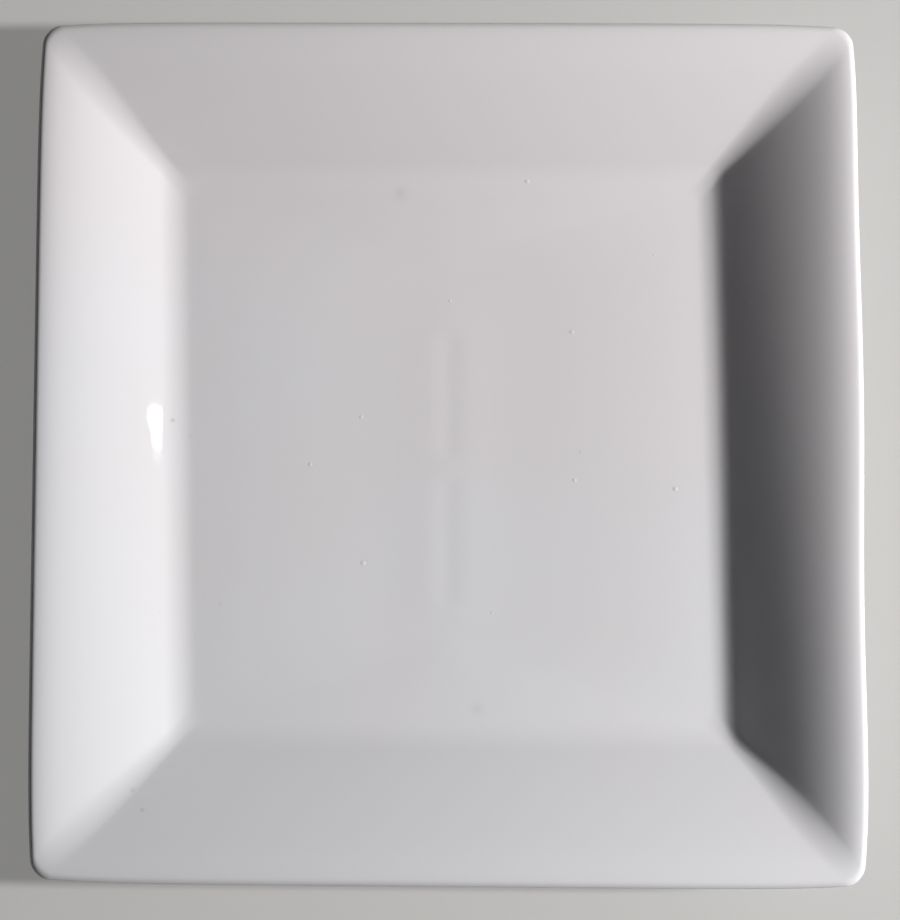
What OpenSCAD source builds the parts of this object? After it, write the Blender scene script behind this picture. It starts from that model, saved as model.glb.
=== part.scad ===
// Square dinner plate of glazed porcelain, in millimetres with +Z up. The origin is on the table,
// under the middle of the well. The body is one fired piece. The glaze lies on it in two areas,
// kept apart by the bare band that the plate stands on. One section runs round a rounded square:
// it goes out over the face, round the rim, back under the wall and across the foot ring.

/* [Plate] */
// Width between the two side edges, across the middle
plate_w = 262; // [230:1:300]
// Length between the two end edges, along the middle
plate_l = 273; // [240:1:310]
// Height of the rim above the table
plate_h = 29; // [24:0.5:34]
// Corner radius of the outer edge
edge_corner_r = 5.6; // [3:0.2:12]
// How far an edge draws in on its way to a corner
edge_ease = 1.6; // [0:0.1:4]
// How far the +X edge draws in on its way to a corner
waved_edge_ease = 2.2; // [0:0.1:4]

/* [Well] */
// Width of the well between its left and right creases
well_w = 176.5; // [150:0.5:190]
// Length of the well between its near and far creases
well_l = 181; // [155:0.5:195]
// Corner radius of the creases
well_corner_r = 4; // [2:0.5:12]
// Radius of the cove where the well turns up into the wall
cove_r = 16.5; // [8:0.5:26]
// How much lower the middle of the well lies than its edges
well_dish = 1.6; // [0:0.1:2]

/* [Wall and rim] */
// Slope of the wall where it leaves the cove, in degrees
wall_slope = 35.5; // [26:0.5:38]
// Distance from the outer edge to the shoulder, where the wall levels out
shoulder_d = 14; // [8:0.5:22]
// Corner radius of the mitres at the shoulder
shoulder_corner_r = 7; // [5:0.5:20]
// Thickness of the rim, which is rounded all the way over
rim_t = 4.6; // [3:0.1:6]

/* [Base and foot ring] */
// Thickness of the base, glaze included
base_t = 4.7; // [3.5:0.1:7]
// Height of the base above the table
foot_h = 2.8; // [2.2:0.1:5]
// Width across the foot ring's section
foot_t = 5.5; // [4:0.1:9]
// Flat shelf between the wall's underside and the foot ring
foot_shelf = 0.6; // [0.2:0.1:6]
// Corner radius of the foot ring's outer face
foot_corner_r = 12; // [9:0.5:24]
// Radius of the foot ring's two lower edges
foot_edge_r = 1.4; // [0.8:0.1:1.8]
// Radius of the fillets where the foot ring meets the base
foot_fillet_r = 1.2; // [0.4:0.1:1.6]

/* [Support ribs] */
// Length of each of the two ribs under the base
rib_l = 40; // [24:1:60]
// Width of a rib where it leaves the base
rib_w = 9; // [6:0.5:14]
// Gap between the two ribs, end to end
rib_gap = 7.5; // [3:0.5:20]
// Clearance between the ribs and the table
rib_clear = 0.8; // [0.5:0.1:1.2]
// Distance of the pair from the middle, towards the near end
rib_shift = 5; // [0:0.5:15]

/* [Glaze] */
// Thickness of the glaze
glaze_t = 0.3; // [0.15:0.05:0.5]

/* [Firing warp] */
// How far firing has shifted the near edge to +X and the far edge to -X
edge_shift = 0.8; // [0:0.1:2]
// How far it has shifted the near crease to +X and the far crease to -X
well_shift = 2.5; // [0:0.1:3]
// Height of the slow wave along the +X edge
edge_wave = 0.4; // [0:0.05:1]
// Length of one wave
wave_pitch = 135; // [100:5:250]
// Place of a crest, from the middle towards the far end
wave_crest = 18; // [-60:1:60]

/* [Smoothness] */
// Steps round each corner
corner_steps = 5; // [3:1:10]
// Steps up the wall
wall_steps = 7; // [5:1:14]
// Steps round the rim
rim_steps = 6; // [4:1:12]

/* [Hidden] */

// Steps round the cove, and round each small radius of the foot ring
cove_steps = 3;
foot_steps = 2;
// Places of the rings across the well's floor, from its middle line out to the cove
floor_shares = [0.1, 0.25, 0.4, 0.55, 0.7, 0.85];
// Length of that middle line in the well's length, and how round the rings are near it
floor_line_share = 0.6;
floor_round_share = 0.8;
// Places of the points along a straight side, closer together near the corners
side_shares = [0.03, 0.1, 0.25, 0.5, 0.75, 0.9, 0.97];
// Reach of the wall curve's two handles: at the cove, and at the rim
cove_handle_share = 0.43;
rim_handle_share = 0.2;
// Powers with which the edges ease in and the wave fades away from the edge
ease_power = 8;
wave_power = 6;
// Largest radius on the foot ring, as a share of its height and width
foot_round_share = 0.46;
// Depth to which the ribs' roots are sunk in the base
rib_root_share = 0.5;
rib_facets = 48;

rim_r = rim_t / 2;
well_h = foot_h + base_t;
foot_edge = min(foot_edge_r, foot_round_share * foot_h, foot_round_share * foot_t);
foot_fillet = min(foot_fillet_r, foot_round_share * foot_h);
// Plan distances, from the outer edge inwards: the creases, the end of the cove and the foot ring
side_wall_d = (plate_w - well_w) / 2;
end_wall_d = (plate_l - well_l) / 2;
cove_d = side_wall_d + cove_r * tan(wall_slope / 2);
foot_d = cove_d + foot_shelf + foot_fillet;
floor_half_w = plate_w / 2 - cove_d;
floor_half_l = floor_half_w + (well_l - well_w) / 2;

rib_h = foot_h - rib_clear;
rib_r = (pow(rib_w / 2, 2) + pow(rib_h, 2)) / (2 * rib_h);

function last(list) = list[len(list) - 1];
function rest(list) = [for (i = [1:1:len(list) - 1]) list[i]];
function backwards(list) = [for (i = [len(list) - 1:-1:0]) list[i]];
// Smooth change from a to b while t goes from 0 to 1
function blend(a, b, t) = let (c = max(0, min(1, t))) a + (b - a) * c * c * (3 - 2 * c);

// The section is a list of stations [x, z, heading]. x is 0 at the outer edge and negative
// inside it, and a heading of 0 degrees runs outwards, with the plate's outside to its left.
function bend(start, from, to, radius, steps) =
    let (way = sign(to - from))
    [for (i = [0:steps]) let (a = from + (to - from) * i / steps)
        [start.x + way * radius * (sin(a) - sin(from)),
         start.y - way * radius * (cos(a) - cos(from)), a]];

function bezier(p, t) =
    pow(1 - t, 3) * p[0] + 3 * t * pow(1 - t, 2) * p[1] + 3 * t * t * (1 - t) * p[2] + pow(t, 3) * p[3];

function bezier_heading(p, t) =
    let (v = pow(1 - t, 2) * (p[1] - p[0]) + 2 * t * (1 - t) * (p[2] - p[1]) + t * t * (p[3] - p[2]))
    atan2(v.y, v.x);

// The wall's curve from the end of its cove to the rim
function wall(cove_end, rim_start) =
    let (run = rim_start.x - cove_end.x,
         p = [cove_end, cove_end + cove_handle_share * run * [1, tan(wall_slope)],
              rim_start - [rim_handle_share * run, 0], rim_start])
    [for (i = [0:wall_steps]) let (b = bezier(p, i / wall_steps))
        [b.x, b.y, bezier_heading(p, i / wall_steps)]];

function xz(station) = [station.x, station.y];
// The same stations run the other way, with the outside on their other side
function turned(stations) = [for (s = backwards(stations)) [s.x, s.y, s.z - 180]];

face_cove = bend([-cove_d, well_h], 0, wall_slope, cove_r, cove_steps);
face_wall = wall(xz(last(face_cove)), [-rim_r, plate_h]);
rim = bend([-rim_r, plate_h], 0, -180, rim_r, rim_steps);
under_cove = bend([-cove_d, foot_h], 0, wall_slope, cove_r + base_t, cove_steps);
under_wall = wall(xz(last(under_cove)), [-rim_r, plate_h - rim_t]);
foot_outer = bend([foot_fillet - foot_d, foot_h], -180, -90, foot_fillet, foot_steps);
foot_outer_edge = bend([-foot_d, foot_edge - glaze_t], -90, -180, foot_edge, foot_steps);
foot_inner_edge = bend([foot_edge - foot_d - foot_t, -glaze_t], -180, -270, foot_edge, foot_steps);
foot_inner = bend([-foot_d - foot_t, foot_h - foot_fillet], -270, -180, foot_fillet, foot_steps);

// Corner radius of the ring through a station, on the face, on the underside and on the foot ring
function rim_corner_r(x) =
    blend(shoulder_corner_r, edge_corner_r, (x + shoulder_d) / (shoulder_d - rim_r));

function wall_corner_r(x, crease_corner_r) =
    x > -shoulder_d ? rim_corner_r(x)
    : blend(crease_corner_r, shoulder_corner_r, (x + side_wall_d) / (side_wall_d - shoulder_d));

function foot_ring_corner_r(x) = foot_corner_r + foot_d + x;

function with_corners(stations, radii) = [for (i = [0:len(stations) - 1]) concat(stations[i], radii[i])];

face = let (s = concat(face_cove, rest(face_wall)))
    with_corners(s, [for (p = s) wall_corner_r(p.x, well_corner_r)]);
rim_round = let (s = rest(rim)) with_corners(s, [for (p = s) edge_corner_r]);
underside = let (s = concat(rest(turned(under_wall)), rest(turned(under_cove))))
    with_corners(s, [for (p = s) wall_corner_r(p.x, foot_ring_corner_r(-cove_d))]);
foot_side = let (s = concat(foot_outer, [foot_outer_edge[0]]))
    with_corners(s, [for (p = s) foot_ring_corner_r(p.x)]);
bare_band = let (s = concat(rest(foot_outer_edge), foot_inner_edge))
    with_corners(s, [for (p = s) foot_ring_corner_r(p.x)]);
recess = with_corners(foot_inner, [for (p = foot_inner) foot_ring_corner_r(p.x)]);

// A station moved into the body by a depth, square to the surface
function sunk(s, depth) =
    let (shift = depth * sin(s[2])) [s[0] + shift, s[1] - depth * cos(s[2]), s[2], s[3] + shift];

// The end walls are the side walls' section, stretched in plan to their own width
function end_x(x) = x > -side_wall_d ? x * end_wall_d / side_wall_d : x + side_wall_d - end_wall_d;

function corner_arc(half_w, half_l, radius, quarter) =
    let (cx = (quarter == 0 || quarter == 3 ? 1 : -1) * (half_w - radius),
         cy = (quarter < 2 ? 1 : -1) * (half_l - radius))
    [for (i = [0:corner_steps]) let (a = 90 * (quarter + i / corner_steps))
        [cx + radius * cos(a), cy + radius * sin(a)]];

function between(a, b) = [for (share = side_shares) a + share * (b - a)];

function rounded_square(half_w, half_l, radius) =
    let (arcs = [for (q = [0:3]) corner_arc(half_w, half_l, radius, q)])
    [for (q = [0:3]) each concat(arcs[q], between(last(arcs[q]), arcs[(q + 1) % 4][0]))];

// Lean out of square of the ring through a station, as a change in X for each step in Y
function lean(x) =
    -2 * blend(well_shift / well_l, edge_shift / plate_l, (x + side_wall_d) / side_wall_d);

// What making and firing do to a ring's plan: eased edges, a lean and one waved edge
function fired(p, lean) =
    let (u = 2 * p.x / plate_w, v = 2 * p.y / plate_l,
         ease = u > 0 ? waved_edge_ease : edge_ease,
         wave = u > 0 ? edge_wave * pow(u, wave_power) * cos(360 * (p.y - wave_crest) / wave_pitch) : 0)
    [p.x - ease * u * pow(abs(v), ease_power) + lean * p.y + wave,
     p.y - edge_ease * v * pow(abs(u), ease_power)];

function ring(s) =
    [for (p = rounded_square(plate_w / 2 + s[0], plate_l / 2 + end_x(s[0]), s[3]))
        concat(fired(p, lean(s[0])), s[1])];

// Rings across the dished floor of the well, at a depth below its surface
function floor_rings(depth) =
    [for (share = floor_shares)
        let (half_l = floor_line_share * well_l / 2 * (1 - share) + floor_half_l * share,
             radius = share * (well_corner_r + floor_round_share * (1 - share) * floor_half_w))
        [for (p = rounded_square(share * floor_half_w, half_l, radius))
            concat(fired(p, lean(-side_wall_d)), well_h - depth - blend(well_dish, 0, share))]];

function glazed_rings(stations) = [for (s = stations) ring(s)];
function body_rings(stations) = [for (s = stations) ring(sunk(s, glaze_t))];

// A closed solid through a list of rings, capped flat at the first ring and at the last one
module loft(rings) {
    n = len(rings[0]);
    bands = [for (k = [0:len(rings) - 2], i = [0:n - 1])
        let (a = k * n + i, b = k * n + (i + 1) % n) each [[a, b, b + n], [a, b + n, a + n]]];
    first_cap = [for (i = [n - 1:-1:0]) i];
    last_cap = [for (i = [0:n - 1]) (len(rings) - 1) * n + i];
    polyhedron([for (r = rings) each r], concat(bands, [first_cap, last_cap]), convexity = 6);
}

// The two low ribs under the base, as deep round bars of which only the lowest part shows
module rib_bars(radius) {
    for (side = [-1, 1]) translate([0, side * (rib_l + rib_gap) / 2 - rib_shift, foot_h - rib_h + rib_r]) {
        rotate([90, 0, 0]) cylinder(h = rib_l - rib_w, r = radius, center = true, $fn = rib_facets);
        for (end = [-1, 1]) translate([0, end * (rib_l - rib_w) / 2, 0]) sphere(r = radius, $fn = rib_facets);
    }
}

module ribs(radius, top) {
    intersection() {
        rib_bars(radius);
        translate([-rib_w, -rib_l - rib_gap - rib_shift, 0])
            cube([2 * rib_w, 2 * (rib_l + rib_gap), top]);
    }
}

module porcelain_body() {
    color("#e9e4da") union() {
        loft(concat(floor_rings(glaze_t),
                    body_rings(concat(face, rim_round, underside, foot_side, bare_band, recess))));
        ribs(rib_r - glaze_t, foot_h + rib_root_share * base_t);
    }
}

module glaze_coat() {
    outside = concat(face, rim_round, underside, foot_side);
    color("#f4f4f2") loft(concat(floor_rings(0), glazed_rings(outside),
                                 backwards(concat(floor_rings(glaze_t), body_rings(outside)))));
}

module base_glaze() {
    covered = concat([last(bare_band)], recess);
    color("#f4f4f2") difference() {
        union() {
            loft(concat(backwards(body_rings(covered)), glazed_rings(covered)));
            ribs(rib_r, foot_h + glaze_t);
        }
        rib_bars(rib_r - glaze_t);
    }
}

porcelain_body();
glaze_coat();
base_glaze();
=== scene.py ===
"""Looks of a square porcelain dinner plate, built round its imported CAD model.

One section is swept round a rounded square, as the CAD part does, with finer steps and with the
small things that solids leave out: the beaded glaze line, the faint marks over the support ribs,
grit under the glaze and the finishes. All sizes are in metres, in the CAD part's frame.
"""
import math

import bmesh
import bpy
from mathutils import Matrix, Vector


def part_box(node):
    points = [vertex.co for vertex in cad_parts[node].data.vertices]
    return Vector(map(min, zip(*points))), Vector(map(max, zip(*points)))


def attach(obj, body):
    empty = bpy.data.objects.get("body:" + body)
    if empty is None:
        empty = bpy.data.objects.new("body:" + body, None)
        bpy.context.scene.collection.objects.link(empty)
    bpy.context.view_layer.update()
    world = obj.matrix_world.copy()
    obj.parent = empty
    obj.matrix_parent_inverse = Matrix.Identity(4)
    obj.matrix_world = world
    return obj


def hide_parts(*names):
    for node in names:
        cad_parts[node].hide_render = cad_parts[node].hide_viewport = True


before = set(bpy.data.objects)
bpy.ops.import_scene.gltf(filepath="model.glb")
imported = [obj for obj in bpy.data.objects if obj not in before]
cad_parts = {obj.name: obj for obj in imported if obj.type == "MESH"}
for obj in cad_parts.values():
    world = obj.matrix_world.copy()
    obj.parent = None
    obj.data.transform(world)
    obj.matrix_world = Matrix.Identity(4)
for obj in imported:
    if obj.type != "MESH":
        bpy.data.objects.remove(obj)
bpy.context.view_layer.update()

bl_info = {
    "name": "Square dinner plate",
    "version": (1, 0, 0),
    "blender": (4, 5, 0),
    "location": "3D View > Sidebar > Plate",
    "description": "Builds a glazed square porcelain plate, its finishes and a plain stage",
    "category": "Object",
}

BODY = "root"
PLATE_LOW, PLATE_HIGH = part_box("glaze_coat")
MM = 0.001


# Settings

def length(name, description, default):
    """A length setting, in metres."""
    return bpy.props.FloatProperty(
        name=name, description=description, default=default, min=0.0, precision=5, unit="LENGTH")


def place(name, description, default):
    """A place along an axis, in metres, which may be negative."""
    return bpy.props.FloatProperty(
        name=name, description=description, default=default, precision=5, unit="LENGTH")


def number(name, description, default, low=0.0, high=100.0):
    """A plain number or share."""
    return bpy.props.FloatProperty(
        name=name, description=description, default=default, min=low, max=high, precision=4)


def angle(name, description, degrees):
    """An angle setting, shown in degrees."""
    return bpy.props.FloatProperty(
        name=name, description=description, default=math.radians(degrees), subtype="ANGLE")


def count(name, description, default):
    """A whole number of steps."""
    return bpy.props.IntProperty(name=name, description=description, default=default, min=1)


def colour(name, description, default):
    """A colour in linear light."""
    return bpy.props.FloatVectorProperty(
        name=name, description=description, default=default, size=3, min=0.0, max=1.0,
        subtype="COLOR")


class PLATE_PG_sizes(bpy.types.PropertyGroup):
    """Sizes of the plate, the same as in its CAD source."""

    width: length("Width", "Width between the two side edges", 261.88 * MM)
    length: length("Length", "Length between the two end edges", PLATE_HIGH.y - PLATE_LOW.y)
    height: length("Height", "Height of the rim above the table", PLATE_HIGH.z)
    edge_corner_r: length("Edge corner", "Corner radius of the outer edge", 5.6 * MM)
    edge_ease: length("Edge ease", "How far an edge draws in on its way to a corner", 1.6 * MM)
    waved_edge_ease: length("Waved edge ease", "How far the waved edge draws in", 2.2 * MM)
    well_width: length("Well width", "Width between the side creases", 176.5 * MM)
    well_length: length("Well length", "Length between the end creases", 181 * MM)
    well_corner_r: length("Well corner", "Corner radius of the creases", 4 * MM)
    cove_r: length("Cove", "Radius where the well turns up into the wall", 16.5 * MM)
    well_dish: length("Well dish", "How much lower the well's middle lies than its edges", 1.6 * MM)
    wall_slope: angle("Wall slope", "Slope of the wall where it leaves the cove", 35.5)
    shoulder: length("Shoulder", "Distance from the edge to where the wall levels out", 14 * MM)
    shoulder_corner_r: length("Shoulder corner", "Corner radius of the mitres", 7 * MM)
    rim: length("Rim", "Thickness of the rounded rim", 4.6 * MM)
    base: length("Base", "Thickness of the base", 4.7 * MM)
    foot_height: length("Foot height", "Height of the base above the table", 2.8 * MM)
    foot_width: length("Foot width", "Width across the foot ring's section", 5.5 * MM)
    foot_shelf: length("Foot shelf", "Flat between the wall's underside and the foot", 0.6 * MM)
    foot_corner_r: length("Foot corner", "Corner radius of the foot ring's outer face", 12 * MM)
    foot_edge_r: length("Foot edge", "Radius of the foot ring's lower edges", 1.288 * MM)
    foot_fillet_r: length("Foot fillet", "Radius where the foot ring meets the base", 1.2 * MM)
    rib_length: length("Rib length", "Length of each support rib", 40 * MM)
    rib_width: length("Rib width", "Width of a rib where it leaves the base", 9 * MM)
    rib_gap: length("Rib gap", "Gap between the two ribs, end to end", 7.5 * MM)
    rib_height: length("Rib height", "How far a rib stands below the base", 2 * MM)
    rib_shift: length("Rib shift", "Distance of the pair from the middle", 5 * MM)
    glaze: length("Glaze", "Thickness of the glaze", 0.3 * MM)
    edge_shift: length("Edge shift", "How far firing moved the end edges sideways", 0.8 * MM)
    well_shift: length("Well shift", "How far firing moved the end creases sideways", 2.5 * MM)
    wave: length("Wave", "Height of the slow wave along the right edge", 0.38 * MM)
    wave_pitch: length("Wave pitch", "Length of one wave", 135 * MM)
    wave_crest: place("Wave crest", "Place of a crest along the edge", 18 * MM)


class PLATE_PG_detail(bpy.types.PropertyGroup):
    """What the visual model adds to the CAD model's shapes."""

    corner_steps: count("Corner steps", "Steps round each corner", 12)
    side_steps: count("Side steps", "Steps along each side", 88)
    base_side_steps: count("Base side steps", "Steps along each side of the base glaze", 220)
    ridge: length("Ridge", "Rise of the well along its middle", 0.38 * MM)
    ridge_reach: length("Ridge reach", "How far the rise spreads to each side", 15 * MM)
    ridge_length: length("Ridge length", "Distance from the middle at which the rise ends", 75 * MM)
    groove: length("Groove", "Depth of the two lines over the ribs", 0.14 * MM)
    groove_reach: length("Groove reach", "How far a line spreads to each side", 3.9 * MM)
    groove_fade: length("Groove fade", "Length over which a line fades out at each end", 6 * MM)
    glaze_wander: length("Glaze wander", "How far the glaze line wanders up and down", 0.12 * MM)
    grit_width: length("Grit width", "Width of a grain of grit under the glaze", 1.4 * MM)
    grit_height: length("Grit height", "Height of a grain of grit", 0.09 * MM)


class PLATE_PG_finish(bpy.types.PropertyGroup):
    """Colours and gloss of the plate's finishes."""

    glaze_colour: colour("Glaze", "Colour of the glazed porcelain", (0.80, 0.777, 0.782))
    glaze_tint: colour("Glaze tint", "Colour that it drifts to in wide soft patches",
                       (0.789, 0.790, 0.808))
    glaze_roughness: number("Glaze roughness", "Roughness of the glaze's surface", 0.035)
    peel: length("Orange peel", "Height of the fine waves in the glaze", 0.004 * MM)
    biscuit_colour: colour("Biscuit", "Colour of the bare foot", (0.72, 0.69, 0.64))
    scuff_colour: colour("Scuffs", "Colour of the grey rub marks on the bare foot",
                         (0.42, 0.41, 0.40))


class PLATE_PG_stage(bpy.types.PropertyGroup):
    """Floor, light and camera."""

    floor_colour: colour("Floor", "Colour of the plain floor", (0.62, 0.615, 0.60))
    key_power: number("Key power", "Power of the lamp on the right, in watts", 20.6, 0, 1000)
    key_height: angle("Key height", "How high the key lamp stands over the floor", 31.5)
    key_distance: length("Key distance", "Distance of the key lamp from the plate", 1.25)
    key_size: length("Key size", "Width of the key lamp", 0.09)
    key_tint: colour("Key tint", "Colour of the key lamp", (1.0, 0.985, 0.985))
    glint_width: length("Glint width", "Width of the first lamp that shows in the glaze", 0.022)
    glint_height: length("Glint height", "Height of that lamp", 0.049)
    glint_power: number("Glint power", "Power of that lamp, in watts", 0.065, 0, 100)
    fill_power: number("Fill power", "Power of the wide lamp overhead, in watts", 1.04, 0, 1000)
    fill_tint: colour("Fill tint", "Colour of the wide lamp overhead", (0.88, 0.89, 1.0))
    ambient: number("Ambient", "Strength of the light from all around", 0.012)


SETTINGS = (
    ("plate_sizes", PLATE_PG_sizes, "Sizes"),
    ("plate_detail", PLATE_PG_detail, "Details"),
    ("plate_finish", PLATE_PG_finish, "Finishes"),
    ("plate_stage", PLATE_PG_stage, "Stage"),
)


# Node trees

class Value:
    """An output in a node tree. Arithmetic on it adds Math nodes to that tree."""

    def __init__(self, nodes, socket):
        self.nodes = nodes
        self.socket = socket

    def __add__(self, other):
        return self.nodes.math("ADD", self, other)

    def __radd__(self, other):
        return self.nodes.math("ADD", other, self)

    def __sub__(self, other):
        return self.nodes.math("SUBTRACT", self, other)

    def __rsub__(self, other):
        return self.nodes.math("SUBTRACT", other, self)

    def __mul__(self, other):
        return self.nodes.math("MULTIPLY", self, other)

    def __rmul__(self, other):
        return self.nodes.math("MULTIPLY", other, self)

    def __truediv__(self, other):
        return self.nodes.math("DIVIDE", self, other)

    def __mod__(self, other):
        return self.nodes.math("MODULO", self, other)

    def __pow__(self, other):
        return self.nodes.math("POWER", self, other)

    def __abs__(self):
        return self.nodes.math("ABSOLUTE", self)


class Nodes:
    """Writes a node tree."""

    COLUMN = 190
    ROW = 170

    def __init__(self, tree):
        self.tree = tree

    def add(self, kind, values=None, output=0, **settings):
        """Adds a node, sets or links its inputs, and gives back one of its outputs."""
        node = self.tree.nodes.new(kind)
        for name, value in settings.items():
            setattr(node, name, value)
        for key, value in (values or {}).items():
            if isinstance(value, Value):
                self.tree.links.new(value.socket, node.inputs[key])
            else:
                node.inputs[key].default_value = value
        return Value(self, node.outputs[output])

    def other(self, value, output):
        """Another output of the node that made a value."""
        return Value(self, value.socket.node.outputs[output])

    def math(self, operation, *values):
        return self.add("ShaderNodeMath", dict(enumerate(values)), operation=operation)

    def mix(self, share, first, second):
        """A number between two others."""
        return first + share * (second - first)

    def mix_colour(self, share, first, second, blend="MIX"):
        return self.add("ShaderNodeMix", {0: share, 6: first, 7: second}, output=2,
                        data_type="RGBA", blend_type=blend)

    def ramp(self, value, low, high, to_low=0.0, to_high=1.0):
        """A value's smooth change from one end to the other."""
        return self.add("ShaderNodeMapRange",
                        {"Value": value, "From Min": low, "From Max": high,
                         "To Min": to_low, "To Max": to_high},
                        interpolation_type="SMOOTHSTEP")

    def split(self, vector):
        first = self.add("ShaderNodeSeparateXYZ", {0: vector})
        return [self.other(first, axis) for axis in range(3)]

    def join(self, x, y, z):
        return self.add("ShaderNodeCombineXYZ", {0: x, 1: y, 2: z})

    def noise(self, vector, scale, detail=2.0, roughness=0.5):
        return self.add("ShaderNodeTexNoise",
                        {"Vector": vector, "Scale": scale, "Detail": detail,
                         "Roughness": roughness}, output="Fac")

    def arrange(self):
        """Puts each node in a column by its distance from the end, so that the tree reads."""
        depth = {node: 0 for node in self.tree.nodes}
        for _ in self.tree.nodes:
            moved = False
            for link in self.tree.links:
                if depth[link.from_node] <= depth[link.to_node]:
                    depth[link.from_node] = depth[link.to_node] + 1
                    moved = True
            if not moved:
                break
        rows = {}
        for node in self.tree.nodes:
            row = rows[depth[node]] = rows.get(depth[node], -1) + 1
            node.location = (-self.COLUMN * depth[node], -self.ROW * row)


class GeometryTree(Nodes):
    """A Geometry Nodes tree with named inputs, which ends in Realize Instances and Set Material."""

    def __init__(self, name):
        super().__init__(bpy.data.node_groups.new(name, "GeometryNodeTree"))
        self.tree.is_modifier = True
        for in_out in ("INPUT", "OUTPUT"):
            self.tree.interface.new_socket("Geometry", in_out=in_out,
                                           socket_type="NodeSocketGeometry")
        self.group = self.tree.nodes.new("NodeGroupInput")

    def input(self, name, kind="Float"):
        """A named input: a Float, Int, Object or Material."""
        self.tree.interface.new_socket(name, in_out="INPUT", socket_type="NodeSocket" + kind)
        return Value(self, self.group.outputs[name])

    def stored(self, name, data_type="FLOAT"):
        return self.add("GeometryNodeInputNamedAttribute", {"Name": name}, data_type=data_type)

    def finish(self, geometry):
        """Ends the tree with smooth shading. The material is its last input."""
        material = self.input("Material", "Material")
        soft = self.add("GeometryNodeSetShadeSmooth", {"Geometry": geometry, "Shade Smooth": True})
        real = self.add("GeometryNodeRealizeInstances", {0: soft})
        painted = self.add("GeometryNodeSetMaterial", {"Geometry": real, "Material": material})
        end = self.tree.nodes.new("NodeGroupOutput")
        self.tree.links.new(painted.socket, end.inputs[0])
        self.arrange()
        return self.tree


def made_by(tree, name, values):
    """A plain mesh object made by a Geometry Nodes tree from these named inputs."""
    piece = bpy.data.objects.new(name, bpy.data.meshes.new(name + "_start"))
    bpy.context.scene.collection.objects.link(piece)
    modifier = piece.modifiers.new("Shape", "NODES")
    modifier.node_group = tree
    sockets = {item.name: item.identifier for item in tree.interface.items_tree
               if item.item_type == "SOCKET" and item.in_out == "INPUT"}
    for key, value in values.items():
        modifier[sockets[key]] = value
    bpy.context.view_layer.update()
    evaluated = piece.evaluated_get(bpy.context.evaluated_depsgraph_get())
    mesh = bpy.data.meshes.new_from_object(evaluated)
    piece.modifiers.remove(modifier)
    piece.data = mesh
    mesh.name = name
    return piece


# The plate's section

class Station:
    """A point of the section: its distances in from the side and end edges (negative inwards),
    height, heading, corner radius, and what lies on it."""

    def __init__(self, x, z, heading, radius=0.0, end=None, mark=0.0, rib=0.0, wander=0.0,
                 depth=0.0):
        self.x = x
        self.z = z
        self.heading = heading
        self.radius = radius
        self.end = end
        self.mark = mark
        self.rib = rib
        self.wander = wander
        self.depth = depth


def bend(x, z, start, stop, radius, steps):
    """Stations round an arc that turns from one heading to another, in degrees."""
    way = 1 if stop > start else -1
    a0 = math.radians(start)
    made = []
    for step in range(steps + 1):
        a = math.radians(start + (stop - start) * step / steps)
        made.append(Station(x + way * radius * (math.sin(a) - math.sin(a0)),
                            z - way * radius * (math.cos(a) - math.cos(a0)), math.degrees(a)))
    return made


# Reach of the wall curve's two handles, at the cove and at the rim
COVE_HANDLE = 0.43
RIM_HANDLE = 0.2
# Length of a floor's middle line in the well's length, and how round the rings are near it
FLOOR_LINE = 0.6
FLOOR_ROUNDING = 0.8


def wall(start, end_x, end_z, slope, steps):
    """Stations along the wall's curve, from the end of a cove to the rim."""
    run = end_x - start.x
    p = [Vector((start.x, start.z)),
         Vector((start.x + COVE_HANDLE * run, start.z + COVE_HANDLE * run * math.tan(slope))),
         Vector((end_x - RIM_HANDLE * run, end_z)), Vector((end_x, end_z))]
    made = []
    for step in range(steps + 1):
        t = step / steps
        left = 1 - t
        at = left ** 3 * p[0] + 3 * t * left ** 2 * p[1] + 3 * t * t * left * p[2] + t ** 3 * p[3]
        along = left ** 2 * (p[1] - p[0]) + 2 * t * left * (p[2] - p[1]) + t * t * (p[3] - p[2])
        made.append(Station(at.x, at.y, math.degrees(math.atan2(along.y, along.x))))
    return made


def turned(stations):
    """The same stations run the other way, with the outside on their other side."""
    return [Station(s.x, s.z, s.heading - 180) for s in reversed(stations)]


def smooth(a, b, t):
    """A smooth change from a to b as t goes from 0 to 1."""
    t = min(max(t, 0.0), 1.0)
    return a + (b - a) * t * t * (3 - 2 * t)


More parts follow.
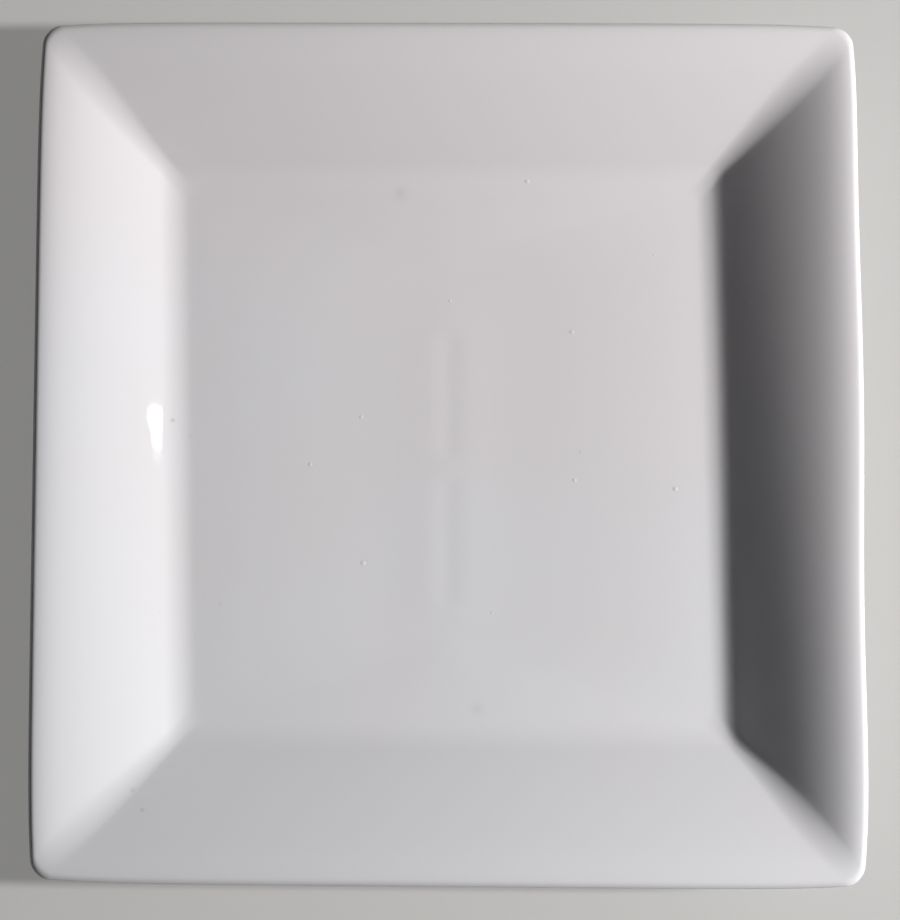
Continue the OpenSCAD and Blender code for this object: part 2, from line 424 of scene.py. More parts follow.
class Section:
    """The plate's section as runs of stations, in the order that they go round the plate."""

    def __init__(self, sizes, fine):
        """fine is a share of the full number of steps, from 0 to 1."""
        s = self.sizes = sizes
        rim_r = s.rim / 2
        slope = math.degrees(s.wall_slope)
        self.side_wall = (s.width - s.well_width) / 2
        self.end_wall = (s.length - s.well_length) / 2
        self.cove_in = self.side_wall + s.cove_r * math.tan(s.wall_slope / 2)
        self.foot_in = self.cove_in + s.foot_shelf + s.foot_fillet_r
        well_z = s.foot_height + s.base

        def steps(full):
            return max(3, round(full * fine))

        cove = bend(-self.cove_in, well_z, 0, slope, s.cove_r, steps(10))
        face_wall = wall(cove[-1], -rim_r, s.height, s.wall_slope, steps(30))
        self.face = self.walled(cove + face_wall[1:], s.well_corner_r)
        self.rim = bend(-rim_r, s.height, 0, -180, rim_r, steps(24))[1:]
        for station in self.rim:
            station.radius = s.edge_corner_r
        under_cove = bend(-self.cove_in, s.foot_height, 0, slope, s.cove_r + s.base, steps(8))
        under_wall = wall(under_cove[-1], -rim_r, s.height - s.rim, s.wall_slope, steps(22))
        self.under = self.walled(turned(under_wall)[1:] + turned(under_cove)[1:],
                                 self.foot_radius(-self.cove_in))
        edge_z = s.foot_edge_r - s.glaze
        side_x = -self.foot_in
        inner_x = side_x - s.foot_width
        self.foot_side = self.footed(
            bend(side_x + s.foot_fillet_r, s.foot_height, -180, -90, s.foot_fillet_r, steps(6))
            + [Station(side_x, smooth(s.foot_height - s.foot_fillet_r, edge_z, 0.5), -90)])
        self.line = self.footed([Station(side_x, edge_z, -90)])
        self.band = self.footed(
            bend(side_x, edge_z, -90, -180, s.foot_edge_r, steps(8))[1:]
            + bend(inner_x + s.foot_edge_r, -s.glaze, -180, -270, s.foot_edge_r, steps(8)))
        self.inner_line = self.footed([Station(inner_x, edge_z, -270)])
        self.recess = self.footed(
            [Station(inner_x, smooth(s.foot_height - s.foot_fillet_r, edge_z, 0.5), -270)]
            + bend(inner_x, s.foot_height - s.foot_fillet_r, -270, -180, s.foot_fillet_r, steps(6)))

    def foot_radius(self, x):
        return self.sizes.foot_corner_r + self.foot_in + x

    def footed(self, stations):
        """Gives the foot ring's corner radii."""
        for station in stations:
            station.radius = self.foot_radius(station.x)
        return stations

    def walled(self, stations, crease_r):
        """Gives corner radii that change from the crease over the shoulder to the edge."""
        s = self.sizes
        for station in stations:
            x = station.x
            if x > -s.shoulder:
                station.radius = smooth(s.shoulder_corner_r, s.edge_corner_r,
                                        (x + s.shoulder) / (s.shoulder - s.rim / 2))
            else:
                station.radius = smooth(crease_r, s.shoulder_corner_r,
                                        (x + self.side_wall) / (self.side_wall - s.shoulder))
        return stations

    def end_inset(self, x):
        """The end walls are the side walls' section, stretched to their own width."""
        if x > -self.side_wall:
            return x * self.end_wall / self.side_wall
        return x + self.side_wall - self.end_wall

    def floor(self, edge, shares, dish=0.0, **marks):
        """Stations from a line along the middle to the edge of a floor that is dished by so
        much. A share is the share of the way out."""
        made = []
        half_w = self.sizes.width / 2
        half_l = self.sizes.length / 2
        edge_w = half_w + edge.x
        edge_l = half_l + self.end_inset(edge.x)
        line_l = FLOOR_LINE * self.sizes.well_length / 2
        for share in shares:
            made.append(Station(
                share * edge_w - half_w, edge.z - smooth(dish, 0, share), edge.heading,
                share * (edge.radius + FLOOR_ROUNDING * (1 - share) * edge_w),
                end=line_l + share * (edge_l - line_l) - half_l, **marks))
        return made

    def sunk(self, stations, depth):
        """Stations moved into the body, square to the surface."""
        made = []
        for s in stations:
            a = math.radians(s.heading)
            shift = depth * math.sin(a)
            made.append(Station(s.x + shift, s.z - depth * math.cos(a), s.heading,
                                s.radius + shift if s.end is None else s.radius, s.end, s.mark,
                                s.rib, s.wander, s.depth + depth))
        return made

    def bead(self, station, steps, way=1):
        """The glaze's rounded end: an arc from its face to the body. It stands ahead of its
        station, or behind it where way is -1."""
        half = self.sizes.glaze / 2
        a = math.radians(station.heading)
        made = []
        for step in range(1, steps):
            turn = math.pi * step / steps
            into = half * (1 - math.cos(turn))
            ahead = way * half * math.sin(turn)
            x = station.x + into * math.sin(a) + ahead * math.cos(a)
            z = station.z - into * math.cos(a) + ahead * math.sin(a)
            made.append(Station(x, z, station.heading, self.foot_radius(x), wander=1.0,
                                depth=into))
        return made


def floor_shares(middle, near, wide):
    """Shares of the way out to a floor's edge for its rings: close ones up to the share called
    middle, and wider ones from there to the edge."""
    shares = [middle * i / near for i in range(near)]
    return shares + [middle + (1 - middle) * i / wide for i in range(wide)]


def store(mesh, name, values):
    """Gives the points of a mesh their numbers under a name."""
    mesh.attributes.new(name, "FLOAT", "POINT").data.foreach_set("value", values)


def profile(name, section, stations):
    """A section as an object: its points hold the side inset, end inset and height."""
    mesh = bpy.data.meshes.new(name)
    points = [(s.x, section.end_inset(s.x) if s.end is None else s.end, s.z) for s in stations]
    mesh.from_pydata(points, [(i, i + 1) for i in range(len(points) - 1)], [])
    store(mesh, "corner_radius", [s.radius for s in stations])
    store(mesh, "depth", [s.depth for s in stations])
    relief = mesh.attributes.new("relief", "FLOAT_VECTOR", "POINT")
    relief.data.foreach_set("vector", [v for s in stations for v in (s.mark, s.rib, s.wander)])
    return bpy.data.objects.new(name, mesh)


# Powers with which the edges ease in towards the corners and the wave fades inwards
EASE_POWER = 8
WAVE_POWER = 6
# Blend between a rib and the base, scale of the glaze line's wander, and welding distance
RIB_BLEND = 0.8 * MM
WANDER_SCALE = 60.0
WELD = 0.001 * MM


def sweep_tree():
    """Sweeps a section round a rounded square, with the marks of making and firing."""
    n = GeometryTree("Swept section")
    section = n.input("Section", "Object")
    width = n.input("Width")
    length_ = n.input("Length")
    corner_steps = n.input("Corner Steps", "Int")
    side_steps = n.input("Side Steps", "Int")
    ease = n.input("Edge Ease")
    waved_ease = n.input("Waved Edge Ease")
    shift = n.input("Edge Shift")
    well_shift = n.input("Well Shift")
    well_length = n.input("Well Length")
    wall_width = n.input("Wall Width")
    wave = n.input("Wave Height")
    wave_pitch = n.input("Wave Pitch")
    wave_crest = n.input("Wave Crest")
    rib_length = n.input("Rib Length")
    rib_width = n.input("Rib Width")
    rib_gap = n.input("Rib Gap")
    rib_height = n.input("Rib Height")
    rib_shift = n.input("Rib Shift")
    ridge = n.input("Ridge Height")
    ridge_reach = n.input("Ridge Reach")
    ridge_length = n.input("Ridge Length")
    groove = n.input("Groove Depth")
    groove_reach = n.input("Groove Reach")
    fade = n.input("Groove Fade")
    wander = n.input("Glaze Wander")

    stations = n.add("GeometryNodeObjectInfo", {"Object": section}, output="Geometry")
    rows = n.add("GeometryNodeAttributeDomainSize", {"Geometry": stations}, output="Point Count")
    quarter_steps = corner_steps + side_steps
    grid = n.add("GeometryNodeMeshGrid", {"Vertices X": 4 * quarter_steps + 1, "Vertices Y": rows})
    index = n.add("GeometryNodeInputIndex")
    row = index % rows
    step = n.math("FLOOR", index / rows)
    quarter = n.math("FLOOR", step / quarter_steps)
    step_in_quarter = step % quarter_steps

    def station_value(value, data_type):
        return n.add("GeometryNodeSampleIndex",
                     {"Geometry": stations, "Value": value, "Index": row}, data_type=data_type)

    at = station_value(n.add("GeometryNodeInputPosition"), "FLOAT_VECTOR")
    side_in, end_in, height = n.split(at)
    radius = station_value(n.stored("corner_radius"), "FLOAT")
    depth = station_value(n.stored("depth"), "FLOAT")
    mark_share, rib_share, wander_share = n.split(
        station_value(n.stored("relief", "FLOAT_VECTOR"), "FLOAT_VECTOR"))

    # Each quarter turns round its corner and then runs along one side to the next corner.
    quarter_turn = math.pi / 2
    turn = (quarter + n.math("MINIMUM", step_in_quarter / corner_steps, 1.0)) * quarter_turn
    along_side = n.math("MAXIMUM", step_in_quarter - corner_steps, 0.0) / side_steps

    def corner_sign(function, quarters):
        return n.math("SIGN", n.math(function, (quarters + 0.5) * quarter_turn))

    next_quarter = quarter + 1
    side_x = n.mix(along_side, corner_sign("COSINE", quarter), corner_sign("COSINE", next_quarter))
    side_y = n.mix(along_side, corner_sign("SINE", quarter), corner_sign("SINE", next_quarter))
    x = side_x * (width / 2 + side_in - radius) + radius * n.math("COSINE", turn)
    y = side_y * (length_ / 2 + end_in - radius) + radius * n.math("SINE", turn)

    # The two ribs under the base, and the marks over them: distances from the nearer rib's middle.
    along = abs(abs(y + rib_shift) - (rib_length + rib_gap) / 2)
    half_rib = rib_width / 2
    rib_r = (half_rib * half_rib + rib_height * rib_height) / (2 * rib_height)
    past = n.math("MAXIMUM", along - (rib_length / 2 - half_rib), 0.0)
    out = n.math("SQRT", x * x + past * past)
    bar_r = rib_r - depth
    bar = n.math("SQRT", n.math("MAXIMUM", bar_r * bar_r - out * out, 0.0)) - (rib_r - rib_height)
    rib_drop = rib_share * n.math("SMOOTH_MAX", bar, 0.0, RIB_BLEND)
    fading = n.ramp(along, rib_length / 2 + fade / 2, rib_length / 2 - fade / 2)

    def hump(reach):
        return n.math("EXPONENT", 0 - (x / reach) ** 2)

    rising = n.ramp(abs(y + rib_shift), ridge_length, ridge_length / 2)
    mark = mark_share * (rising * ridge * hump(ridge_reach) - fading * groove * hump(groove_reach))

    # What making and firing do to the plan. The rim and the well lean by their own amounts, and
    # the lean fades away towards the middle.
    u = x * 2 / width
    v = y * 2 / length_
    outwards = n.ramp(side_in, 0 - wall_width, 0.0)
    lean = 2 * n.mix(outwards, well_shift / well_length, shift / length_)
    lean = lean * n.ramp(side_in, width * -0.5, width * -0.25)
    waved = wave * n.math("MAXIMUM", u, 0.0) ** WAVE_POWER * n.math(
        "COSINE", (y - wave_crest) * (2 * math.pi) / wave_pitch)
    ease_x = n.mix(n.math("GREATER_THAN", u, 0.0), ease, waved_ease)
    fired_x = x - ease_x * u * abs(v) ** EASE_POWER - lean * y + waved
    fired_y = y - ease * v * abs(u) ** EASE_POWER

    drift = n.noise(n.join(x, y, 0.0), WANDER_SCALE, detail=1.0) - 0.5
    fired_z = height + mark - rib_drop + wander_share * wander * 2 * drift
    swept = n.add("GeometryNodeSetPosition",
                  {"Geometry": grid, "Position": n.join(fired_x, fired_y, fired_z)})
    welded = n.add("GeometryNodeMergeByDistance", {"Geometry": swept, "Distance": WELD})
    return n.finish(n.add("GeometryNodeFlipFaces", {"Mesh": welded}))


def grain_tree():
    """Sets small low domes on a surface, one at each given spot, in the spot's own size."""
    n = GeometryTree("Grains on a surface")
    spots = n.input("Spots", "Object")
    surface = n.input("Surface", "Object")
    width = n.input("Width")
    height = n.input("Height")
    seed = n.input("Seed", "Int")

    ball = n.add("GeometryNodeMeshUVSphere", {"Segments": 14, "Rings": 8, "Radius": 1.0})
    x, y, z = n.split(n.add("GeometryNodeInputPosition"))
    left = n.math("MAXIMUM", 1 - x * x - y * y, 0.0)
    above = n.math("GREATER_THAN", z, 0.0)
    dome_z = n.mix(above, -0.5 * left, left * left) * height
    half = width / 2
    dome = n.add("GeometryNodeSetPosition",
                 {"Geometry": ball, "Position": n.join(x * half, y * half, dome_z)})

    under = n.add("GeometryNodeObjectInfo", {"Object": surface}, output="Geometry")
    points = n.add("GeometryNodeObjectInfo", {"Object": spots}, output="Geometry")
    spot_x, spot_y, _ = n.split(n.add("GeometryNodeInputPosition"))
    hit = n.add("GeometryNodeRaycast",
                {"Target Geometry": under, "Source Position": n.join(spot_x, spot_y, 0.1),
                 "Ray Direction": (0.0, 0.0, -1.0), "Ray Length": 1.0}, output="Hit Position")
    normal = n.other(hit, "Hit Normal")
    spin = n.add("FunctionNodeRandomValue", {2: 0.0, 3: 2 * math.pi, 8: seed}, output=1,
                 data_type="FLOAT")
    upright = n.add("FunctionNodeAlignRotationToVector",
                    {"Rotation": n.join(0.0, 0.0, spin), "Vector": normal}, axis="Z")
    uneven = n.add("FunctionNodeRandomValue", {0: (0.9, 0.9, 0.9), 1: (1.1, 1.1, 1.1), 8: seed},
                   data_type="FLOAT_VECTOR")
    scale = n.add("ShaderNodeVectorMath", {0: uneven, 3: n.stored("grain_size")},
                  operation="SCALE")
    placed = n.add("GeometryNodeSetPosition", {"Geometry": points, "Position": hit})
    return n.finish(n.add("GeometryNodeInstanceOnPoints",
                          {"Points": placed, "Instance": dome, "Rotation": upright,
                           "Scale": scale}))


# Finishes

def new_material(name):
    """A material with a Principled shader, as its tree writer and its shader's inputs."""
    material = bpy.data.materials.new(name)
    material.use_nodes = True
    return material, Nodes(material.node_tree), material.node_tree.nodes["Principled BSDF"].inputs


def feed(nodes, socket, value):
    nodes.tree.links.new(value.socket, socket)


def rgba(colour_value):
    return (*colour_value, 1.0)


# Distance over which the glaze drifts from one tint to the other
TINT_SPAN = 165 * MM
# Least upward slant of a face that carries stains
FACE_UP = 0.3
# Stains and iron specks in the glaze of the face: place, reach, and how much they darken it
STAINS_MM = ((-16.3, 85.4, 2.1, 0.085), (10.0, -82.7, 1.9, 0.07), (-89.7, 10.0, 0.6, 0.26),
             (-84.0, 4.9, 0.6, 0.08), (-73.5, -49.5, 0.6, 0.09), (-98.7, -108.5, 0.65, 0.14),
             (-95.1, -114.2, 0.6, 0.19))


def glaze_material(name, finish):
    """Clear glaze over white porcelain: a hard gloss with fine waves, wide soft drifts of tint,
    faint stains and specks, and a finely rubbed skin."""
    material, n, shader = new_material(name)
    at = n.add("ShaderNodeTexCoord", output="Object")
    x, y, _ = n.split(at)
    patches = n.noise(at, 16.0, detail=3.0) - 0.5
    drift = n.ramp(2.0 * patches - (0.5 * x + y) / TINT_SPAN, -0.35, 0.6)
    tinted = n.mix_colour(drift, rgba(finish.glaze_colour), rgba(finish.glaze_tint))
    fine = n.noise(at, 900.0, detail=2.0)
    shade = 1.0 - 0.012 * fine
    _, _, facing_up = n.split(n.add("ShaderNodeNewGeometry", output="Normal"))
    on_face = n.math("GREATER_THAN", facing_up, FACE_UP)
    for stain_x, stain_y, reach, dark in STAINS_MM:
        off_x = (x - stain_x * MM) / (reach * MM)
        off_y = (y - stain_y * MM) / (reach * MM)
        spread = n.math("EXPONENT", 0 - (off_x * off_x + off_y * off_y))
        shade = shade - dark * on_face * spread
    feed(n, shader["Base Color"],
         n.mix_colour(1.0, tinted, n.add("ShaderNodeCombineColor", {0: shade, 1: shade, 2: shade}),
                      blend="MULTIPLY"))
    rubbed = n.noise(at, 55.0, detail=4.0, roughness=0.6)
    feed(n, shader["Roughness"], finish.glaze_roughness + 0.02 * (rubbed - 0.5))
    waves = 0.65 * n.noise(at, 70.0, detail=0.0) + 0.3 * n.noise(at, 240.0, detail=1.0) \
        + 0.05 * n.noise(at, 900.0, detail=1.0)
    feed(n, shader["Normal"],
         n.add("ShaderNodeBump", {"Strength": 1.0, "Distance": finish.peel, "Height": waves}))
    n.arrange()
    return material


# How far up from the table the bare foot is rubbed, and the height of its fine grain
RUB_HEIGHT = 0.6 * MM
BISCUIT_GRAIN = 0.04 * MM


def biscuit_material(name, finish):
    """Bare fired porcelain: dry and finely gritty, with grey rubs where it has stood."""
    material, n, shader = new_material(name)
    at = n.add("ShaderNodeTexCoord", output="Object")
    _, _, z = n.split(at)
    tone = n.noise(at, 45.0, detail=4.0)
    warm = n.mix_colour(n.ramp(tone, 0.35, 0.7), rgba(finish.biscuit_colour),
                        rgba([0.93 * c for c in finish.biscuit_colour]))
    bearing = n.ramp(z, RUB_HEIGHT, 0.0)
    streaks = n.noise(n.add("ShaderNodeMapping", {"Vector": at, "Scale": (3.0, 1.0, 1.0)}), 220.0,
                      detail=6.0, roughness=0.7)
    rubs = 0.55 * bearing * n.ramp(streaks, 0.52, 0.72)
    scuffed = n.mix_colour(rubs, warm, rgba(finish.scuff_colour))
    grit = n.add("ShaderNodeTexVoronoi", {"Vector": at, "Scale": 1400.0}, output="Distance")
    dots = 0.35 * n.ramp(grit, 0.16, 0.05)
    feed(n, shader["Base Color"],
         n.mix_colour(dots, scuffed, rgba([0.6 * c for c in finish.scuff_colour])))
    feed(n, shader["Roughness"], 0.82 - 0.12 * rubs)
    grain = n.noise(at, 2600.0, detail=3.0, roughness=0.6)
    feed(n, shader["Normal"],
         n.add("ShaderNodeBump", {"Strength": 1.0, "Distance": BISCUIT_GRAIN, "Height": grain}))
    n.arrange()
    return material


# Pieces

# Share of the full number of steps that the coarse runs of a section have, and steps round a bead
COARSE = 0.4
BEAD_STEPS = 8
# Shares of the way across a flat within which its rings stand close together: over the well,
# under the body and under the base glaze
MARKED_SHARE = 0.24
BODY_RIB_SHARE = 0.09
GLAZE_RIB_SHARE = 0.1


def settings(name):
    return getattr(bpy.context.scene, name)


def sweep_values(section_object, side_steps, material):
    """What the sweep needs, by the names of its inputs."""
    s, d = settings("plate_sizes"), settings("plate_detail")
    return {
        "Section": section_object, "Width": s.width, "Length": s.length,
        "Corner Steps": d.corner_steps, "Side Steps": side_steps, "Edge Ease": s.edge_ease,
        "Waved Edge Ease": s.waved_edge_ease, "Edge Shift": s.edge_shift,
        "Well Shift": s.well_shift, "Well Length": s.well_length,
        "Wall Width": (s.width - s.well_width) / 2, "Wave Height": s.wave,
        "Wave Pitch": s.wave_pitch, "Wave Crest": s.wave_crest, "Rib Length": s.rib_length,
        "Rib Width": s.rib_width, "Rib Gap": s.rib_gap, "Rib Height": s.rib_height,
        "Rib Shift": s.rib_shift,
        "Ridge Height": d.ridge, "Ridge Reach": d.ridge_reach, "Ridge Length": d.ridge_length,
        "Groove Depth": d.groove, "Groove Reach": d.groove_reach, "Groove Fade": d.groove_fade,
        "Glaze Wander": d.glaze_wander, "Material": material,
    }


def named_tree(name, make):
    """The node tree of that name, made if it isn't there yet."""
    return bpy.data.node_groups.get(name) or make()


def named_material(name, make):
    """The material of that name, made if it isn't there yet."""
    return bpy.data.materials.get(name) or make(name, settings("plate_finish"))


def check_closed(piece):
    """Raises an error unless the piece is closed and its faces point outwards."""
    mesh = bmesh.new()
    mesh.from_mesh(piece.data)
    open_edges = sum(1 for edge in mesh.edges if len(edge.link_faces) != 2)
    volume = mesh.calc_volume(signed=True)
    triangles = len(mesh.calc_loop_triangles())
    mesh.free()
    if open_edges or volume <= 0:
        raise RuntimeError(f"{piece.name} has {open_edges} open edges and a volume of {volume}")
    print(f"{piece.name}: {triangles} triangles, {volume * 1e9:.0f} mm3")


def swept_piece(name, section, stations, side_steps, material, node):
    """Sweeps a run of stations into a piece that stands for its CAD node."""
    outline = profile(name + "_section", section, stations)
    tree = named_tree("Swept section", sweep_tree)
    piece = made_by(tree, name, sweep_values(outline, side_steps, material))
    bpy.data.objects.remove(outline)
    check_closed(piece)
    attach(piece, BODY)
    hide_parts(node)


def with_mark(stations):
    """The well's stations, which carry the marks over the ribs."""
    for station in stations:
        station.mark = 1.0
    return stations


def with_wander(stations):
    """The glaze line's stations, which wander with it."""
    for station in stations:
        station.wander = 1.0
    return stations


class PLATE_OT_porcelain(bpy.types.Operator):
    """Makes the fired porcelain body, of which only the foot ring's bare band shows"""
    bl_idname = "plate.porcelain"
    bl_label = "Porcelain body"

    def execute(self, context):
        sizes = settings("plate_sizes")
        fine, coarse = Section(sizes, 1.0), Section(sizes, COARSE)
        shares = floor_shares(MARKED_SHARE, 3, 8)
        rib_shares = floor_shares(BODY_RIB_SHARE, 16, 8)
        stations = coarse.floor(coarse.face[0], shares, sizes.well_dish) + coarse.face \
            + coarse.rim + coarse.under + coarse.foot_side + coarse.line + fine.band \
            + fine.recess + fine.floor(fine.recess[-1], rib_shares, rib=1.0)[::-1]
        swept_piece("porcelain", coarse, coarse.sunk(stations, sizes.glaze),
                    settings("plate_detail").side_steps,
                    named_material("Biscuit", biscuit_material), "porcelain_body")
        return {"FINISHED"}


class PLATE_OT_glaze_coat(bpy.types.Operator):
    """Makes the glaze over the face, rim, wall and outside of the foot ring"""
    bl_idname = "plate.glaze_coat"
    bl_label = "Glaze coat"

    def execute(self, context):
        sizes = settings("plate_sizes")
        fine, coarse = Section(sizes, 1.0), Section(sizes, COARSE)
        outside = with_mark(fine.floor(fine.face[0], floor_shares(MARKED_SHARE, 26, 20),
                                       sizes.well_dish)) \
            + fine.face + fine.rim + fine.under + fine.foot_side + with_wander(fine.line)
        inside = coarse.floor(coarse.face[0], floor_shares(MARKED_SHARE, 3, 8), sizes.well_dish) \
            + coarse.face + coarse.rim + coarse.under + coarse.foot_side + with_wander(coarse.line)
        bead = fine.bead(fine.line[0], BEAD_STEPS)
        stations = outside + bead + coarse.sunk(inside, sizes.glaze)[::-1]
        swept_piece("glaze_coating", fine, stations, settings("plate_detail").side_steps,
                    named_material("Glaze", glaze_material), "glaze_coat")
        return {"FINISHED"}


class PLATE_OT_base_glaze(bpy.types.Operator):
    """Makes the glaze inside the foot ring, with the two support ribs under it"""
    bl_idname = "plate.base_glaze"
    bl_label = "Base glaze"

    def execute(self, context):
        sizes = settings("plate_sizes")
        fine, coarse = Section(sizes, 1.0), Section(sizes, COARSE)
        fine_shares = floor_shares(GLAZE_RIB_SHARE, 26, 8)
        coarse_shares = floor_shares(GLAZE_RIB_SHARE, 8, 3)
        outside = with_wander(fine.inner_line) + fine.recess \
            + fine.floor(fine.recess[-1], fine_shares, rib=1.0)[::-1]
        inside = with_wander(coarse.inner_line) + coarse.recess \
            + coarse.floor(coarse.recess[-1], coarse_shares, rib=1.0)[::-1]
        bead = fine.bead(fine.inner_line[0], BEAD_STEPS, way=-1)
        stations = coarse.sunk(inside, sizes.glaze)[::-1] + bead[::-1] + outside
        swept_piece("base_glazing", fine, stations, settings("plate_detail").base_side_steps,
                    named_material("Glaze", glaze_material), "base_glaze")
        return {"FINISHED"}


# Grains of grit: place in millimetres, and size beside the others
GRIT_MM = ((40.3, 39.8, 1.13), (-28.4, 11.6, 1.05), (-44.9, -4.0, 0.98), (41.3, -8.7, 1.03),
           (74.0, -11.4, 1.22), (-27.3, -36.1, 1.28), (25.5, 89.3, 1.3), (14.7, -51.9, 0.81),
           (43.3, 0.5, 0.66), (97.5, 48.6, 0.87), (0.4, 50.1, 0.83), (67.1, 65.3, 0.57))


class PLATE_OT_grit(bpy.types.Operator):
    """Sets the grains of grit under the glaze of the face"""
    bl_idname = "plate.grit"
    bl_label = "Grit under the glaze"

    def execute(self, context):
        detail = settings("plate_detail")
        mesh = bpy.data.meshes.new("grit_spots")
        mesh.from_pydata([(x * MM, y * MM, 0.0) for x, y, _ in GRIT_MM], [], [])
        store(mesh, "grain_size", [size for _, _, size in GRIT_MM])
        spots = bpy.data.objects.new("grit_spots", mesh)
        grit = made_by(named_tree("Grains on a surface", grain_tree), "grit_under_glaze",
                       {"Spots": spots, "Surface": bpy.data.objects["glaze_coating"],
                        "Width": detail.grit_width, "Height": detail.grit_height, "Seed": 3,
                        "Material": named_material("Glaze", glaze_material)})
        bpy.data.objects.remove(spots)
        check_closed(grit)
        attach(grit, BODY)
        return {"FINISHED"}


# Stage

CAMERA_AT = Vector((9.7, -44.1, 616.3)) * MM
CAMERA_AIM = Vector((0.9, -3.1, 17.75)) * MM
CAMERA_ROLL = math.radians(0.38)
# The sensor's width spans the picture's longer side, its height of 920 pixels
SENSOR_WIDTH = 36.0
CAMERA_LENS = 1875 * SENSOR_WIDTH / 920
FLOOR_RADIUS = 6.0
# Bearing of the key lamp, distance of the glint's lamps, and place and width of the fill lamp
KEY_AZIMUTH = math.radians(-1.7)
GLINT_DISTANCE = 1.23
FILL_HEIGHT = math.radians(89)
FILL_DISTANCE = 1.6
FILL_WIDTH = 1.6
# The glint's lamps, which show in the glaze as one tapering spot: azimuth and height in degrees,
# then width, height and power beside the first
GLINT_LAMPS = ((8.9, 32.2, 1.0, 1.0, 1.0), (7.8, 32.0, 0.9, 0.6, 0.5), (7.1, 32.0, 1.1, 0.7, 0.06))


def add_area_lamp(name, azimuth, height, distance, width, depth, power, tint):
    """An area lamp that looks at the plate's middle; angles in radians, 0 azimuth at +X."""
    data = bpy.data.lights.new(name, "AREA")
    data.shape = "ELLIPSE"
    data.size, data.size_y = width, depth
    data.energy = power
    data.color = tint
    lamp = bpy.data.objects.new(name, data)
    bpy.context.scene.collection.objects.link(lamp)
    way = Vector((math.cos(height) * math.cos(azimuth), math.cos(height) * math.sin(azimuth),
                  math.sin(height)))
    turn = way.to_track_quat("Z", "Y").to_matrix().to_4x4()
    lamp.matrix_world = Matrix.Translation(way * distance) @ turn
    return lamp


def seen_directly(n):
    """1 for rays that show a surface to the camera, also in gloss and glass, and 0 for light."""
    path = n.add("ShaderNodeLightPath", output="Is Camera Ray")
    return n.math("MAXIMUM", n.math("MAXIMUM", path, n.other(path, "Is Glossy Ray")),
                  n.other(path, "Is Transmission Ray"))


# How much of its own pale tone the backdrop shows near the plate, beside the light that falls on
# it, how bright that tone is, and where the floor starts and ends its change to tone alone
TONE_NEAR = 0.4
TONE_STRENGTH = 0.85
TONE_START = 0.2
TONE_END = 0.55


def floor_material(stage):
    """A plain pale floor. It shows part of its own tone, and far from the plate only that, so
    that the shadow stays soft and the floor has no dark end."""
    material = bpy.data.materials.new("Floor")
    material.use_nodes = True
    n = Nodes(material.node_tree)
    material.node_tree.nodes.clear()
    colour_value = rgba(stage.floor_colour)
    x, y, _ = n.split(n.add("ShaderNodeTexCoord", output="Object"))
    tone = n.ramp(n.math("SQRT", x * x + y * y), TONE_START, TONE_END, TONE_NEAR, 1.0)
    lit = n.add("ShaderNodeBsdfDiffuse", {"Color": colour_value})
    shown = n.add("ShaderNodeEmission", {"Color": colour_value, "Strength": TONE_STRENGTH})
    surface = n.add("ShaderNodeMixShader", {0: tone * seen_directly(n), 1: lit, 2: shown})
    end = n.tree.nodes.new("ShaderNodeOutputMaterial")
    feed(n, end.inputs["Surface"], surface)
    n.arrange()
    return material


def make_world(stage):
    """Dim light from above, and a band round the horizon that looks as pale as the floor."""
    world = bpy.data.worlds.new("Studio")
    bpy.context.scene.world = world
    world.use_nodes = True
    n = Nodes(world.node_tree)
    background = world.node_tree.nodes["Background"]
    _, _, up = n.split(n.add("ShaderNodeTexCoord", output="Generated"))
    band = n.ramp(up, 0.2, 0.05)
    dim = [stage.ambient] * 3
    pale = [TONE_STRENGTH * c for c in stage.floor_colour]
    feed(n, background.inputs["Color"],
         n.mix_colour(band * seen_directly(n), rgba(dim), rgba(pale)))
    background.inputs["Strength"].default_value = 1.0
    n.arrange()


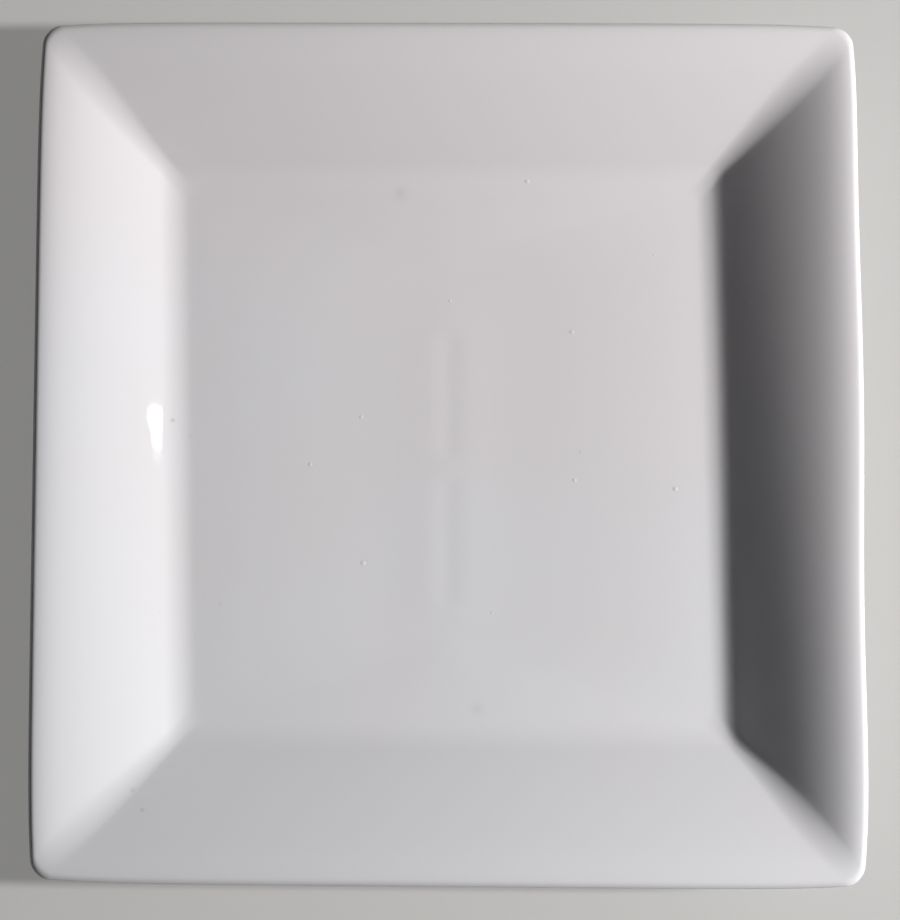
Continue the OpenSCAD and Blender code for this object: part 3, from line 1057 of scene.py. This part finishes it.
class PLATE_OT_stage(bpy.types.Operator):
    """Sets the floor, the lamps, the surroundings and the camera"""
    bl_idname = "plate.stage"
    bl_label = "Stage"

    def execute(self, context):
        s = settings("plate_stage")
        mesh = bpy.data.meshes.new("floor")
        disc = bmesh.new()
        bmesh.ops.create_circle(disc, cap_ends=True, segments=96, radius=FLOOR_RADIUS)
        disc.to_mesh(mesh)
        disc.free()
        floor = bpy.data.objects.new("floor", mesh)
        context.scene.collection.objects.link(floor)
        mesh.materials.append(floor_material(s))

        # The key lamp lights the plate, and the small glint lamps beside it show in the glaze.
        key = add_area_lamp("Key", KEY_AZIMUTH, s.key_height, s.key_distance, s.key_size,
                            s.key_size, s.key_power, s.key_tint)
        key.visible_glossy = False
        for azimuth, height, wide, tall, bright in GLINT_LAMPS:
            add_area_lamp("Glint", math.radians(azimuth), math.radians(height), GLINT_DISTANCE,
                          wide * s.glint_width, tall * s.glint_height, bright * s.glint_power,
                          s.key_tint)
        add_area_lamp("Fill", 0.0, FILL_HEIGHT, FILL_DISTANCE, FILL_WIDTH, FILL_WIDTH,
                      s.fill_power, s.fill_tint)
        make_world(s)

        camera = bpy.data.objects.new("Camera", bpy.data.cameras.new("Camera"))
        context.scene.collection.objects.link(camera)
        camera.data.sensor_width = SENSOR_WIDTH
        camera.data.lens = CAMERA_LENS
        back = (CAMERA_AT - CAMERA_AIM).normalized()
        right = Vector((0, 1, 0)).cross(back).normalized()
        up = back.cross(right)
        side = math.cos(CAMERA_ROLL) * right + math.sin(CAMERA_ROLL) * up
        turn = Matrix((side, back.cross(side), back)).transposed().to_4x4()
        camera.matrix_world = Matrix.Translation(CAMERA_AT) @ turn
        context.scene.camera = camera
        context.scene.view_settings.view_transform = "Standard"
        return {"FINISHED"}


# Panel and start

OPERATORS = (PLATE_OT_porcelain, PLATE_OT_glaze_coat, PLATE_OT_base_glaze, PLATE_OT_grit,
             PLATE_OT_stage)


class PLATE_PT_sidebar(bpy.types.Panel):
    """Lists the plate's settings and pieces"""
    bl_idname = "PLATE_PT_sidebar"
    bl_label = "Square dinner plate"
    bl_space_type = "VIEW_3D"
    bl_region_type = "UI"
    bl_category = "Plate"

    def draw(self, context):
        for name, group_class, title in SETTINGS:
            box = self.layout.box()
            box.label(text=title)
            for key in group_class.__annotations__:
                box.prop(getattr(context.scene, name), key)
        for operator in OPERATORS:
            self.layout.operator(operator.bl_idname)


CLASSES = (*(group_class for _, group_class, _ in SETTINGS), *OPERATORS, PLATE_PT_sidebar)


def register():
    for cls in CLASSES:
        bpy.utils.register_class(cls)
    for name, group_class, _ in SETTINGS:
        setattr(bpy.types.Scene, name, bpy.props.PointerProperty(type=group_class))


def unregister():
    for name, _, _ in SETTINGS:
        delattr(bpy.types.Scene, name)
    for cls in reversed(CLASSES):
        bpy.utils.unregister_class(cls)


def main():
    register()
    bpy.ops.plate.porcelain()
    bpy.ops.plate.glaze_coat()
    bpy.ops.plate.base_glaze()
    bpy.ops.plate.grit()
    bpy.ops.plate.stage()


if __name__ == "__main__":
    main()
